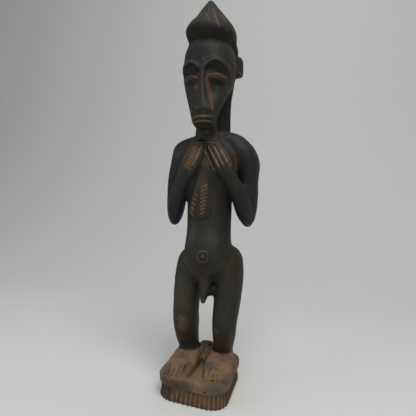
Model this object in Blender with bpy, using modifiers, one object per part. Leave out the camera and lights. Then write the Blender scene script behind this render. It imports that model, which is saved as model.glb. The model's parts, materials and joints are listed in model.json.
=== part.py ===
"""A Baule spirit spouse: a standing male figure and its plinth, carved from one block of wood.

The figure faces -Y and stands on a plinth whose underside is at Z = 0. Its right side is at -X.
"""

import math

import bmesh
import bpy
import numpy as np
from mathutils import Matrix, Vector

# Driving sizes, in metres
FIGURE_HEIGHT = 0.396
PLINTH_HEIGHT = 0.026
PLINTH_MARGIN = 0.003
TIER_HEIGHT = 0.0130
TIER_FLARE = 0.0020
SLAB_BULGE = 0.0010
NECK_GROOVE = 0.0025
FRONT_CORNER = 0.019
BACK_CORNER = 0.014
RIM_RADIUS = 0.0045
FLUTE_PITCH = 0.0050
FLUTE_DEPTH = 0.0013

# The figure is drawn 396 units tall from the soles to the tip of the crest, so that a unit is
# a share of the figure's height. Every station, radius and groove of the body is in these units.
DRAWN_HEIGHT = 396
UNIT = FIGURE_HEIGHT / DRAWN_HEIGHT

# The carver's left and right differ: these move the figure's left up and its right down
HIP_LIFT = 2
SHOULDER_LIFT = 3
SHOULDER_SIDE = 1.2
BROW_LIFT = 0.7
CAP_SLOPE = 0.2
NAVEL_SIDE = 1.5
NAVEL_HEIGHT = 119

# The ground that the two feet take up, which the plinth follows
STANCE_CENTRE = -3.8
STANCE_WIDTH = 68
STANCE_FRONT = 44.2
STANCE_BACK = 36
STANCE_SKEW = 0.15

FINGER_PITCH = 4.4
# For the figure's left (+1) and right (-1): where the fingers' middle line starts at the knuckles
# and ends at the tips, and how much the fingers spread at each
KNUCKLE_AT = {1: 18.5, -1: 15.8}
KNUCKLE_SPREAD = {1: 1.0, -1: 0.85}
TIP_AT = {1: 5.5, -1: 6.8}
TIP_SPREAD = {1: 1.35, -1: 0.95}
# How far each forefoot turns out and narrows
TOE_TURN = {1: 2.8, -1: 1.2}
TOE_PITCH = 5.2
NAVEL_STEPS = 10

RING_POINTS = 40
RINGS_PER_UNIT = 0.5
VOXEL = 1.3 * UNIT
CORNER_STEPS = 6
PLAN_POINTS = 72
RIM_STEPS = 4
TRIANGLE_BUDGET = 7200
WOOD = (0.034, 0.028, 0.023, 1.0)


def clear_scene():
    for obj in list(bpy.data.objects):
        bpy.data.objects.remove(obj, do_unlink=True)


def collection_named(name):
    made = bpy.data.collections.new(name)
    bpy.context.scene.collection.children.link(made)
    return made


def wood_material():
    material = bpy.data.materials.new("dark_patinated_wood")
    material.use_nodes = True
    shader = material.node_tree.nodes["Principled BSDF"]
    shader.inputs["Base Color"].default_value = WOOD
    shader.inputs["Roughness"].default_value = 0.5
    shader.inputs["Metallic"].default_value = 0.0
    return material


def new_object(name, mesh, collection):
    obj = bpy.data.objects.new(name, mesh)
    collection.objects.link(obj)
    return obj


def through(stations, at):
    """Values of a smooth curve through rows of (parameter, values...), at many parameters."""
    rows = np.array(stations, float)
    keys, values = rows[:, 0], rows[:, 1:]
    slopes = np.gradient(values, keys, axis=0)
    i = np.clip(np.searchsorted(keys, at) - 1, 0, len(keys) - 2)
    span = keys[i + 1] - keys[i]
    t = np.clip((at - keys[i]) / span, 0, 1)[:, None]
    span = span[:, None]
    return (
        (2 * t**3 - 3 * t**2 + 1) * values[i]
        + (t**3 - 2 * t**2 + t) * span * slopes[i]
        + (3 * t**2 - 2 * t**3) * values[i + 1]
        + (t**3 - t**2) * span * slopes[i + 1]
    )


def rounded(angle, squareness):
    """A point of a unit superellipse: squareness 2 is a circle, and more is squarer."""
    c, s = math.cos(angle), math.sin(angle)
    power = 2 / squareness
    return math.copysign(abs(c) ** power, c), math.copysign(abs(s) ** power, s)


def skin(name, rings, collection):
    """A closed body over a list of rings of points, each with as many points as the next."""
    bm = bmesh.new()
    loops = [[bm.verts.new(point) for point in ring] for ring in rings]
    count = len(loops[0])
    for low, high in zip(loops, loops[1:]):
        for i in range(count):
            j = (i + 1) % count
            bm.faces.new((low[i], low[j], high[j], high[i]))
    bm.faces.new(reversed(loops[0]))
    bm.faces.new(loops[-1])
    bmesh.ops.recalc_face_normals(bm, faces=bm.faces)
    mesh = bpy.data.meshes.new(name)
    bm.to_mesh(mesh)
    bm.free()
    return new_object(name, mesh, collection)


def upright(name, stations, collection, squareness=2.2):
    """A form with level sections. A station is (height, centre x, front y, back y, half width)."""
    low, high = stations[0][0], stations[-1][0]
    count = max(3, round((high - low) * RINGS_PER_UNIT))
    heights = np.linspace(low, high, count)
    rings = []
    for z, (x, front, back, half) in zip(heights, through(stations, heights)):
        middle, reach = (front + back) / 2, (back - front) / 2
        ring = []
        for k in range(RING_POINTS):
            c, s = rounded(2 * math.pi * k / RING_POINTS, squareness)
            ring.append(Vector((x + c * half, middle + s * reach, z)) * UNIT)
        rings.append(ring)
    return skin(name, rings, collection)


def limb(name, stations, collection, side=(1, 0, 0), squareness=2.2):
    """A form along a bent line. A station is (x, y, z, radius to the side, radius to the front)."""
    points = np.array(stations, float)
    steps = np.linalg.norm(np.diff(points[:, :3], axis=0), axis=1)
    along = np.concatenate([[0], np.cumsum(steps)])
    keyed = np.column_stack([along, points])
    count = max(4, round(along[-1] * RINGS_PER_UNIT))
    spots = through(keyed, np.linspace(0, along[-1], count))
    tangents = np.gradient(spots[:, :3], axis=0)
    rings = []
    for (x, y, z, wide, deep), tangent in zip(spots, tangents):
        axis = Vector(tangent).normalized()
        across = (Vector(side) - axis * axis.dot(Vector(side))).normalized()
        front = axis.cross(across)
        ring = []
        for k in range(RING_POINTS):
            c, s = rounded(2 * math.pi * k / RING_POINTS, squareness)
            ring.append((Vector((x, y, z)) + across * c * wide + front * s * deep) * UNIT)
        rings.append(ring)
    return skin(name, rings, collection)


def ball(name, centre, radii, collection):
    """An ellipsoid."""
    bm = bmesh.new()
    bmesh.ops.create_uvsphere(bm, u_segments=32, v_segments=20, radius=1.0)
    size = Matrix.Diagonal((Vector(radii) * UNIT).to_4d())
    place = Matrix.Translation(Vector(centre) * UNIT) @ size
    bmesh.ops.transform(bm, matrix=place, verts=bm.verts)
    mesh = bpy.data.meshes.new(name)
    bm.to_mesh(mesh)
    bm.free()
    return new_object(name, mesh, collection)


def both_sides(make, *args):
    """The same form on the figure's left (+1) and right (-1)."""
    return [make(side, *args) for side in (1, -1)]


def trunk(parts):
    upright(
        "trunk",
        (
            (90, 0, -18, 24, 21),
            (98, 0, -24, 28, 28),
            (107, 0, -29, 28, 29.5),
            (118, 0.2, -33, 25, 26.6),
            (130, 0.4, -31.5, 20, 24.6),
            (145, 0.3, -25, 18.5, 23.7),
            (160, 0, -22.5, 19, 24),
            (180, 0, -23, 20, 24.5),
            (198, 0, -24.5, 21, 27),
            (214, 0, -24, 23, 31),
            (228, 0, -20, 23, 33),
            (238, 0, -15, 21, 28),
            (245, 0, -10, 16, 18),
        ),
        parts,
        squareness=2.3,
    )
    limb(
        "yoke",
        (
            (-36, 4, 222, 11, 14),
            (-31, 4, 229, 12.5, 15),
            (-20, 4, 234, 12.5, 15),
            (-8, 4, 237, 12.5, 14),
            (5, 4, 239.5, 12.5, 14),
            (20, 4, 239.5, 12.5, 15),
            (30, 4, 235, 13, 15),
            (36, 4, 227, 12, 14),
        ),
        parts,
        side=(0, 0, 1),
    )


def neck(parts):
    upright(
        "neck",
        (
            (230, -2.5, -20, 12, 14),
            (238, -3, -18, 10, 12),
            (254, -2.8, -16.5, 11, 11.3),
            (275, -2, -20, 13, 12),
            (292, 0, -18, 14, 13),
        ),
        parts,
        squareness=2.5,
    )


def leg(side, parts):
    lift = HIP_LIFT * side
    limb(
        "leg",
        (
            (side * 16, 10, 122 + lift, 5, 8),
            (side * 20, 7, 116 + lift, 13, 17),
            (side * 22, 4, 104 + lift, 15, 20),
            (side * 22.6, -1, 87, 15, 19),
            (side * 22.4, -6, 68, 14.2, 17),
            (side * 21.4, -9.5, 50, 13.2, 16),
            (side * 21, -7, 40, 12.8, 15.2),
            (side * 20.4, -2, 29, 11.9, 14),
            (side * 19.2, 1.5, 19, 10.8, 12.6),
            (side * 18.7, 2, 11, 10.6, 12),
            (side * 19, 1, 0, 11.2, 13),
        ),
        parts,
    )
    ball("calf", (side * 20.8, 0, 42), (12, 13, 26), parts)
    ball("buttock", (side * 17, 12, 105 + lift), (17.2, 16.5, 20), parts)


def foot(side, parts):
    """A wedge that widens and falls from the ankle to the toes, with a blunt front."""
    turn = TOE_TURN[side]
    limb(
        "foot",
        (
            (side * 18.5, 18, 3, 9, 5),
            (side * 18.5, 11, 5, 11.5, 9),
            (side * 18.7, -2, 6, 13.8, 10.5),
            (side * 19.2, -14, 4.6, 15, 9),
            (side * (19.2 + 0.4 * turn), -28, 2.4, 15.2 - 0.3 * turn, 7),
            (side * (19.2 + 0.9 * turn), -38, 0.4, 15.3 - 0.8 * turn, 6.4),
            (side * (19.2 + turn), -43, -1, 14.4 - 0.8 * turn, 5.4),
        ),
        parts,
        squareness=3.0,
    )


def heel_block(parts):
    """The rough wood that was left standing between the heels."""
    upright(
        "heel_block",
        ((-3, -1, -2, 26, 11), (6, -1, 0, 25, 10), (12, -1.5, 3, 23, 9), (18, -2, 8, 19, 6)),
        parts,
        squareness=3.0,
    )


def arm(side, parts):
    lift, shift = SHOULDER_LIFT * side, SHOULDER_SIDE
    limb(
        "upper_arm",
        (
            (side * 23 + shift, 3, 235 + lift, 11, 13),
            (side * 31 + shift, 3, 228 + lift, 14, 16.5),
            (side * 36.8 + shift, 4.5, 214 + lift, 13.6, 16.5),
            (side * 39.4, 6, 198 + lift, 11.7, 14),
            (side * 40.4, 6, 180, 11, 12.5),
            (side * 41, 4.5, 165, 9.6, 10.5),
            (side * 41, 2.5, 155, 7.2, 7.5),
            (side * 41, 1.5, 148.5, 3.5, 4),
        ),
        parts,
    )
    limb(
        "forearm",
        (
            (side * 40.5, 1, 154, 6, 6),
            (side * 39, -2, 162, 8.6, 8.5),
            (side * 34, -11, 180, 8.8, 8.6),
            (side * 27.5, -19, 195, 8.0, 7.6),
            (side * 22.5, -24, 204, 8.0, 6.6),
        ),
        parts,
    )
    limb(
        "hand",
        (
            (side * 25.5, -20.5, 198, 6.6, 5.8),
            (side * 21.5, -25, 206, 8.8, 6),
            (side * 17.2, -26.5, 214, 9.9, 5.6),
            (side * 12.4, -24.5, 224, 9.2, 5),
            (side * 8.6, -21, 234, 7.6, 4.4),
            (side * 7.2, -18.5, 239, 6.2, 3.6),
        ),
        parts,
        squareness=3.2,
    )


def head(parts):
    upright(
        "head",
        (
            (250.5, -0.5, -35, -13, 8.6),
            (254, -0.6, -37, -10, 11.4),
            (259.5, -0.6, -37, -9, 13),
            (269, -0.6, -36, -4, 15.6),
            (279, -0.4, -35, 3, 19),
            (289, -0.4, -34.8, 12, 22.5),
            (300, -0.3, -35, 24, 26),
            (311, 0.8, -36, 29, 27.5),
            (322, 1, -37, 31, 28.2),
            (332, 0.8, -36.5, 31, 26.2),
            (342, 0.6, -32, 30, 22.4),
            (352, 0.6, -25, 28, 18.5),
        ),
        parts,
        squareness=2.25,
    )


def coiffure(parts):
    """A pointed cap whose rim overhangs the brow, and the broad queue down the nape."""
    cap = upright(
        "cap",
        (
            (342, 1, -32, 27, 20.5),
            (346, 1.5, -37, 30.5, 23.5),
            (351, 2, -41, 34, 26.3),
            (357, 1.2, -42.5, 35, 27),
            (363, 1, -38.5, 32, 24.4),
            (370, 1.6, -29.5, 26, 18.4),
            (379, 0, -19, 17.5, 13.1),
            (387, -0.7, -11, 10, 7.4),
            (393, -1, -5.5, 4.5, 3.4),
            (396, -1, -3, 2.2, 1.6),
        ),
        parts,
        squareness=2.1,
    )
    for vertex in cap.data.vertices:
        fade = 1 - (vertex.co.z / UNIT - 342) / (DRAWN_HEIGHT - 342)
        vertex.co.z += CAP_SLOPE * vertex.co.y * fade
    limb(
        "queue",
        (
            (0.8, 14, 352, 25, 20),
            (0.8, 15, 336, 25, 20),
            (0.8, 17, 320, 24, 18),
            (0.8, 19, 305, 21.8, 14.5),
            (0.8, 20, 290, 19.3, 12),
            (0.8, 20, 270, 18.3, 11.5),
            (0.8, 19.5, 252, 18.3, 10.5),
            (0.8, 18, 240, 15, 8),
        ),
        parts,
        squareness=2.8,
    )
    for side in (1, -1):
        ball("temple_hair", (side * 17.5 + 1.3, 10, 340), (10, 14, 15), parts)


def nose(parts):
    upright(
        "nose",
        (
            (263, 2, -44.5, -30, 7.2),
            (265.5, 2, -46.5, -30, 8.4),
            (271, 1.8, -45.5, -30, 7.4),
            (284, 1, -43, -30, 5),
            (298, 0.8, -41, -30, 3.4),
            (310, 0.6, -39.6, -30, 2.2),
            (318, 0.5, -38.2, -30, 1.6),
        ),
        parts,
        squareness=3.0,
    )


def brow(side, parts):
    lift = BROW_LIFT * side
    limb(
        "brow",
        (
            (side * 1.5, -37.5, 308.5, 1.6, 2),
            (side * 6, -37.8, 313.5 + lift, 1.9, 2.2),
            (side * 13 + 0.5, -36.2, 316.5 + lift, 2.1, 2.4),
            (side * 19 + 1, -32.4, 315.5 + lift, 2.1, 2.4),
            (side * 23.4 + 1, -25, 311.5 + lift, 1.8, 2.2),
            (side * 25 + 1, -18, 307 + lift, 1.2, 1.4),
        ),
        parts,
        side=(0, 0, 1),
    )


def eyelid(side, parts):
    """The closed, downcast eye: a thick lid over a crescent that turns under."""
    lift = BROW_LIFT * side
    limb(
        "eyelid",
        (
            (side * 5, -34, 296 + lift, 1.4, 1.4),
            (side * 9, -34.6, 298.6 + lift, 3.0, 3),
            (side * 13.6 + 0.5, -33, 299.6 + lift, 3.8, 3.8),
            (side * 18.8 + 1, -27.6, 298.8 + lift, 3.2, 3),
            (side * 22.4 + 1, -21, 297.4 + lift, 1.2, 1.4),
        ),
        parts,
        side=(0, 0, 1),
    )


def lips(parts):
    for height, reach, thick in ((260.6, 9.8, 2.0), (254.6, 9.4, 1.9)):
        limb(
            "lip",
            (
                (1 - reach, -33.5, height - 0.8, 1.4, 2),
                (1 - reach / 2, -38.6, height, thick, 2.6),
                (1, -40, height, thick, 2.8),
                (1 + reach / 2, -38.6, height, thick, 2.6),
                (1 + reach, -33.5, height - 0.8, 1.4, 2),
            ),
            parts,
            side=(0, 0, 1),
        )


def ear(side, parts):
    """A square C-shaped ridge that stands out from the hair, open to the front."""
    limb(
        "ear",
        (
            (side * 27.8, 3, 315, 5, 2.4),
            (side * 28.3, 9, 314.6, 5.4, 2.8),
            (side * 28.7, 14.6, 315.6, 5.6, 2.8),
            (side * 28.9, 16, 323.2, 5.6, 2.8),
            (side * 28.7, 14.6, 330.8, 5.6, 2.8),
            (side * 28.3, 9, 331.8, 5.4, 2.8),
            (side * 27.8, 3, 331.2, 5, 2.4),
        ),
        parts,
    )
    ball("ear_hollow", (side * 26, 9.5, 323.6), (6, 6.5, 9), parts)


def loins(parts):
    limb(
        "loins",
        (
            (0.5, -10, 104, 9, 8),
            (0.5, -16, 95, 8, 7.5),
            (0.2, -18.5, 85, 6.2, 6),
            (-0.4, -19, 76, 4.4, 4.4),
            (-0.8, -19, 68, 2.4, 2.6),
        ),
        parts,
    )
    ball("pouch", (4.5, -13, 82), (6.5, 6, 7), parts)


def navel(parts):
    ball("navel", (NAVEL_SIDE, -32, NAVEL_HEIGHT), (7, 3.4, 6.6), parts)


def scar_panel(parts):
    """The raised tie-shaped field that carries the herringbone scars."""
    limb(
        "scar_panel",
        (
            (-1, -24.5, 214, 3.5, 1.6),
            (-2, -24.6, 203, 5.6, 2),
            (-3.6, -24, 188, 8.2, 2.4),
            (-5, -23.2, 172, 10.4, 2.4),
            (-5.8, -23.4, 161.5, 11, 2.2),
            (-6, -24, 157.5, 7, 1.4),
        ),
        parts,
        squareness=3.0,
    )


def brush(obj, centre, radii, push):
    """Pushes the surface within an ellipsoid, most at its centre and not at all at its edge."""
    middle, reach, move = Vector(centre), Vector(radii), Vector(push)
    for vertex in obj.data.vertices:
        offset = vertex.co / UNIT - middle
        near = sum((offset[i] / reach[i]) ** 2 for i in range(3))
        if near < 1:
            vertex.co += move * ((1 - near) ** 2 * UNIT)


def press_features(body):
    for side in (1, -1):
        brush(body, (side * 12.5, -38, 308), (12, 12, 8.5), (0, 5.0, 0))
        brush(body, (side * 21, -30, 304), (8, 11, 9), (-side * 1.2, 3.6, 0))
        brush(body, (side * 11, -36, 287), (9, 10, 12), (0, 3.0, 0))
    brush(body, (0, -38, 247), (14, 12, 5), (0, 3.5, 1.5))


def groove(obj, points, width, push, reach=9):
    """Sinks a rounded groove under a line of points, for as deep as the reach along the push."""
    path, move = [Vector(point) for point in points], Vector(push)
    down = move.normalized()
    for vertex in obj.data.vertices:
        at = vertex.co / UNIT
        nearest = 1.0
        for low, high in zip(path, path[1:]):
            run = high - low
            share = max(0, min(1, (at - low).dot(run) / run.length_squared))
            offset = at - low - run * share
            depth = offset.dot(down)
            if abs(depth) < reach:
                nearest = min(nearest, (offset - down * depth).length / width)
        vertex.co += move * ((1 - nearest * nearest) * UNIT)


def carve_fingers(body):
    """Four grooves part the five fingers of each hand, from the knuckles to the tips."""
    for side in (1, -1):
        for k in range(4):
            offset = (k - 1.4) * FINGER_PITCH
            near = KNUCKLE_AT[side] + KNUCKLE_SPREAD[side] * offset
            far = TIP_AT[side] + TIP_SPREAD[side] * offset
            knuckle = (side * near, -31, 209 + 0.55 * offset)
            middle = (side * (near + far) / 2, -29, 222)
            tip = (side * far, -24, 235.5 - 0.4 * offset)
            groove(body, (knuckle, middle, tip), 2.0, (0, 1.8, 0))


def carve_toes(body):
    for side in (1, -1):
        for k in range(4):
            across = side * (19.2 + TOE_TURN[side] + (k - 1.5) * TOE_PITCH)
            groove(body, ((across, -33, 10), (across, -47, 2)), 2.6, (0, 0.9, -1.6))


def carve_navel(body):
    """A ring is sunk round the navel, which leaves a button inside it."""
    ring = []
    for step in range(NAVEL_STEPS + 1):
        angle = 2 * math.pi * step / NAVEL_STEPS
        ring.append((NAVEL_SIDE + 5 * math.cos(angle), -35, NAVEL_HEIGHT + 5 * math.sin(angle)))
    groove(body, ring, 2.0, (0, 1.2, 0))


def evaluated_mesh(obj):
    graph = bpy.context.evaluated_depsgraph_get()
    return bpy.data.meshes.new_from_object(obj.evaluated_get(graph))


def bake_modifiers(obj):
    mesh = evaluated_mesh(obj)
    obj.modifiers.clear()
    obj.data = mesh


def gather(name, sources, collection):
    """One mesh of many loose bodies. The sources are removed."""
    bm = bmesh.new()
    for obj in list(sources.objects):
        bm.from_mesh(obj.data)
        bpy.data.objects.remove(obj, do_unlink=True)
    mesh = bpy.data.meshes.new(name)
    bm.to_mesh(mesh)
    bm.free()
    return new_object(name, mesh, collection)


def fuse(obj, smoothing):
    """Joins the overlapping bodies of a mesh into one skin and eases its creases."""
    remesh = obj.modifiers.new("Fuse", "REMESH")
    remesh.mode = "VOXEL"
    remesh.voxel_size = VOXEL
    smooth = obj.modifiers.new("Ease", "SMOOTH")
    smooth.factor = 0.5
    smooth.iterations = smoothing
    bake_modifiers(obj)


def thin_out(obj, budget):
    obj.data.calc_loop_triangles()
    decimate = obj.modifiers.new("Facets", "DECIMATE")
    decimate.ratio = min(1.0, budget / len(obj.data.loop_triangles))
    bake_modifiers(obj)


# How far the block's axis wanders to the figure's left, by height
SWAY = (
    (0, 0),
    (25, 0.7),
    (55, 1.8),
    (105, 2.6),
    (150, 2.2),
    (190, 2.6),
    (222, 3.4),
    (242, 0.5),
    (262, 0),
    (DRAWN_HEIGHT, 0),
)


def sway(obj):
    for vertex in obj.data.vertices:
        offset = through(SWAY, np.array([vertex.co.z / UNIT]))[0][0]
        vertex.co.x += offset * UNIT


def carved_body(collection):
    masses = collection_named("masses")
    trunk(masses)
    neck(masses)
    both_sides(leg, masses)
    both_sides(arm, masses)
    head(masses)
    coiffure(masses)
    body = gather("body", masses, collection)
    fuse(body, smoothing=5)
    press_features(body)
    features = collection_named("features")
    both_sides(foot, features)
    heel_block(features)
    nose(features)
    both_sides(brow, features)
    both_sides(eyelid, features)
    lips(features)
    both_sides(ear, features)
    loins(features)
    navel(features)
    scar_panel(features)
    features.objects.link(body)
    collection.objects.unlink(body)
    body = gather("figure", features, collection)
    fuse(body, smoothing=2)
    carve_fingers(body)
    carve_toes(body)
    carve_navel(body)
    sway(body)
    thin_out(body, TRIANGLE_BUDGET)
    for helper in (masses, features):
        bpy.data.collections.remove(helper)
    for vertex in body.data.vertices:
        vertex.co.z += PLINTH_HEIGHT
    return body


def plinth_plan(offset, count):
    """Evenly spaced points, with their outward directions, round the plinth's plan."""
    half = STANCE_WIDTH * UNIT / 2 + PLINTH_MARGIN + offset
    front = STANCE_FRONT * UNIT + PLINTH_MARGIN + offset
    back = STANCE_BACK * UNIT + PLINTH_MARGIN + offset
    corners = (
        (half, -front, -90, FRONT_CORNER + offset),
        (half, back, 0, BACK_CORNER + offset),
        (-half, back, 90, BACK_CORNER + offset),
        (-half, -front, 180, FRONT_CORNER + offset),
    )
    path = []
    for x, y, start, radius in corners:
        centre = Vector((math.copysign(half - radius, x), y - math.copysign(radius, y)))
        for step in range(CORNER_STEPS + 1):
            angle = math.radians(start + 90 * step / CORNER_STEPS)
            path.append(centre + radius * Vector((math.cos(angle), math.sin(angle))))
    path.append(path[0])
    lengths = np.cumsum([0] + [(b - a).length for a, b in zip(path, path[1:])])
    spots = np.linspace(0, lengths[-1], count, endpoint=False)
    xs = np.interp(spots, lengths, [p.x for p in path])
    ys = np.interp(spots, lengths, [p.y for p in path])
    ahead = np.clip(-ys / front, 0, 1)
    ys = ys - STANCE_SKEW * xs * ahead
    plan = [Vector((x, y)) for x, y in zip(xs, ys)]
    outward = []
    for k in range(count):
        along = plan[(k + 1) % count] - plan[k - 1]
        outward.append(Vector((along.y, -along.x)).normalized())
    return plan, outward


def plinth_ring(offset, height, count, depths=(0.0,)):
    plan, outward = plinth_plan(offset, count)
    centre = STANCE_CENTRE * UNIT
    ring = []
    for k in range(count):
        spot = plan[k] - outward[k] * depths[k % len(depths)]
        ring.append(Vector((spot.x + centre, spot.y, height)))
    return ring


def fluted_tier(collection):
    """The lower tier: upright grooves, spaced evenly round the whole block."""
    plan, _ = plinth_plan(0, PLAN_POINTS)
    girth = sum((plan[k] - plan[k - 1]).length for k in range(PLAN_POINTS))
    depths = (0.0, 0.0, FLUTE_DEPTH, FLUTE_DEPTH)
    count = len(depths) * round(girth / FLUTE_PITCH)
    top = TIER_HEIGHT + NECK_GROOVE / 2
    rings = [
        plinth_ring(0, 0, count, depths),
        plinth_ring(-TIER_FLARE, top, count, depths),
    ]
    return skin("tier", rings, collection)


def slab(collection):
    """The upper tier, with an undercut below and a rounded rim."""
    rings = [
        plinth_ring(-NECK_GROOVE, TIER_HEIGHT, PLAN_POINTS),
        plinth_ring(SLAB_BULGE / 2, TIER_HEIGHT + NECK_GROOVE, PLAN_POINTS),
    ]
    for step in range(RIM_STEPS + 1):
        angle = math.pi / 2 * step / RIM_STEPS
        inset = RIM_RADIUS * (1 - math.cos(angle))
        height = PLINTH_HEIGHT - RIM_RADIUS * (1 - math.sin(angle))
        rings.append(plinth_ring(SLAB_BULGE - inset, height, PLAN_POINTS))
    return skin("slab", rings, collection)


def unite(target, tool):
    joined = target.modifiers.new("Unite", "BOOLEAN")
    joined.operation = "UNION"
    joined.solver = "EXACT"
    joined.object = tool
    bake_modifiers(target)
    bpy.data.objects.remove(tool, do_unlink=True)


def main():
    clear_scene()
    figure_set = collection_named("spirit_spouse")
    figure = carved_body(figure_set)
    unite(figure, slab(figure_set))
    unite(figure, fluted_tier(figure_set))
    figure.name = "figure"
    figure.data.materials.clear()
    figure.data.materials.append(wood_material())
    figure.data.shade_flat()
    print("triangles", sum(len(face.vertices) - 2 for face in figure.data.polygons))


main()
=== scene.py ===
# %% [markdown]
# This script dresses one carved piece: a Baule spirit spouse, a standing male figure cut in one
# with its plinth. The solid gives the true outline and proportions. Here it gets the carver's
# finer cuts, and then the dark, worn skin of an old wooden figure.

import json
import math

import bpy
import numpy as np
from mathutils import Matrix, Vector

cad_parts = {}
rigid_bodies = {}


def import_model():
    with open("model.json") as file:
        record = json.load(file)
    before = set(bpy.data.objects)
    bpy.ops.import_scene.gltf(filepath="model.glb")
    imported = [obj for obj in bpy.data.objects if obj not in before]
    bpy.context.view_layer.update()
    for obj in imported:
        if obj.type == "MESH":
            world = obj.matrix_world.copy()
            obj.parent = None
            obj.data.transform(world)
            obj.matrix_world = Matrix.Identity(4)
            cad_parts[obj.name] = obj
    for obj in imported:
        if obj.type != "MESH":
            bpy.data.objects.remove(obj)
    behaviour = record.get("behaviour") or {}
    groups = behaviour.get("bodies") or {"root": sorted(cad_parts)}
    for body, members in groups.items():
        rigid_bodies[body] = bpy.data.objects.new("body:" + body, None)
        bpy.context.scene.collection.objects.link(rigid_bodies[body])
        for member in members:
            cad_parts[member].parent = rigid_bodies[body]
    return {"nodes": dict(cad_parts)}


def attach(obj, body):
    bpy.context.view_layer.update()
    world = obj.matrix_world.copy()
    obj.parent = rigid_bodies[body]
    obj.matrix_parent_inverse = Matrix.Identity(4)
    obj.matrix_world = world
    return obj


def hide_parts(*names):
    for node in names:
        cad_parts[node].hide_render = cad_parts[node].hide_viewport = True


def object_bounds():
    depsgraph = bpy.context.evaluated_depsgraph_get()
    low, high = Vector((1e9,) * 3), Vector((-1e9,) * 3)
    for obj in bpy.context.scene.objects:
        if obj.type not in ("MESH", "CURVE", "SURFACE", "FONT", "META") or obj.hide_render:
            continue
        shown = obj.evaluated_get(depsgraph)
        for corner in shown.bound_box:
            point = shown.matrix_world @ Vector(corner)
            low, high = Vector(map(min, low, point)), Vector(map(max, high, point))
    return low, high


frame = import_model()
cad_low, cad_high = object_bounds()
print("CAD box, mm:", [round(1000 * side, 1) for side in cad_high - cad_low])

# %% [markdown]
# Every cut below is placed in millimetres, measured from the point between the soles, with the
# plinth below zero. The block's middle line isn't straight: it wanders a few millimetres to the
# figure's left on its way up, as a carved trunk does. The cuts are drawn about a straight middle
# line, and place carries a point over to the real one, which keeps left and right easy to compare.
# The wander comes from a short table: how far the middle line has moved, at each of ten heights.

# %% Set the measures
MM = 0.001
PLINTH_TOP = 26
TOP = (cad_high.z / MM) - PLINTH_TOP
SWAY_HEIGHTS = (0, 25, 55, 105, 150, 190, 222, 242, 262, TOP)
SWAY_OFFSETS = (0, 0.7, 1.8, 2.6, 2.2, 2.6, 3.4, 0.5, 0, 0)


def sway(height):
    """How far the middle line has wandered to the figure's left, by height."""
    return np.interp(height, SWAY_HEIGHTS, SWAY_OFFSETS)


def place(x, y, z):
    """A point of the straight drawing, as a place in the scene."""
    return Vector((x + float(sway(z)), y, z + PLINTH_TOP)) * MM


print("figure above the plinth, mm:", round(TOP, 1))

# %% [markdown]
# The solid is a net of flat triangles a few millimetres wide. A copy of it is merged, so that
# neighbours share their corners, and a Subdivision Surface rounds the net into a skin. Doing that
# to the plinth would melt its flutes, so the plinth comes from a second, plain copy, and each copy
# is cut off and capped just past the other. First come the helpers for this.


# %% Make the helpers for copying and cutting
def pick(*objects):
    """Selects these objects alone and makes the first one active."""
    bpy.ops.object.select_all(action="DESELECT")
    for obj in objects:
        obj.select_set(True)
    bpy.context.view_layer.objects.active = objects[0]


def apply_all(obj):
    """Applies an object's modifiers, from the first to the last."""
    pick(obj)
    for modifier in list(obj.modifiers):
        bpy.ops.object.modifier_apply(modifier=modifier.name)


def cad_copy(name):
    """A copy of the plain solid, with its loose triangles joined at their corners."""
    obj = bpy.data.objects.new(name, frame["nodes"]["figure"].data.copy())
    bpy.context.scene.collection.objects.link(obj)
    obj.data.materials.clear()
    pick(obj)
    bpy.ops.object.mode_set(mode="EDIT")
    bpy.ops.mesh.select_all(action="SELECT")
    bpy.ops.mesh.remove_doubles(threshold=0.00001)
    bpy.ops.object.mode_set(mode="OBJECT")
    return obj


def cut_level(obj, height, keep_above):
    """Cuts a closed mesh at a height in the drawing, throws one side away and caps the other."""
    pick(obj)
    bpy.ops.object.mode_set(mode="EDIT")
    bpy.ops.mesh.select_all(action="SELECT")
    bpy.ops.mesh.bisect(
        plane_co=(0, 0, (height + PLINTH_TOP) * MM),
        plane_no=(0, 0, 1),
        use_fill=True,
        clear_inner=keep_above,
        clear_outer=not keep_above,
    )
    bpy.ops.object.mode_set(mode="OBJECT")


print("triangles in the plain solid:", len(frame["nodes"]["figure"].data.polygons))

# %% [markdown]
# The body reaches a little below the soles and the plinth stops a little under them, so the two
# overlap by two millimetres. The overlap disappears later, in the remesh.

# %% Round the body and keep the plinth crisp
BODY_START = -2.5
PLINTH_END = -0.5

body = cad_copy("rounded_body")
cut_level(body, BODY_START, keep_above=True)
rounding = body.modifiers.new("Round", "SUBSURF")
rounding.levels = rounding.render_levels = 2
apply_all(body)
plinth = cad_copy("crisp_plinth")
cut_level(plinth, PLINTH_END, keep_above=False)
print("rounded body:", len(body.data.polygons), "faces; plinth:", len(plinth.data.polygons))

# %% [markdown]
# Rounding also softens the small raised forms, such as the brows, lids and lips. They are laid on
# again as strokes: each is a curve with a round bevel whose radius swells and thins along it, made
# into a mesh. A curve is quick to place, and a stroke that is sunk halfway into the face reads as
# carved from it once the skin is remade.


# %% Make the stroke tool
def stroke(name, points):
    """A solid stroke through rows of (x, y, z, radius)."""
    curve = bpy.data.curves.new(name, "CURVE")
    curve.dimensions = "3D"
    curve.bevel_depth = MM
    curve.bevel_resolution = 4
    curve.use_fill_caps = True
    line = curve.splines.new("NURBS")
    line.points.add(len(points) - 1)
    line.order_u = 3
    line.use_endpoint_u = True
    line.resolution_u = 8
    for point, (x, y, z, radius) in zip(line.points, points):
        point.co = (*place(x, y, z), 1)
        point.radius = radius
    obj = bpy.data.objects.new(name, curve)
    bpy.context.scene.collection.objects.link(obj)
    pick(obj)
    bpy.ops.object.convert(target="MESH")
    return obj


print("stroke tool ready")

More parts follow.
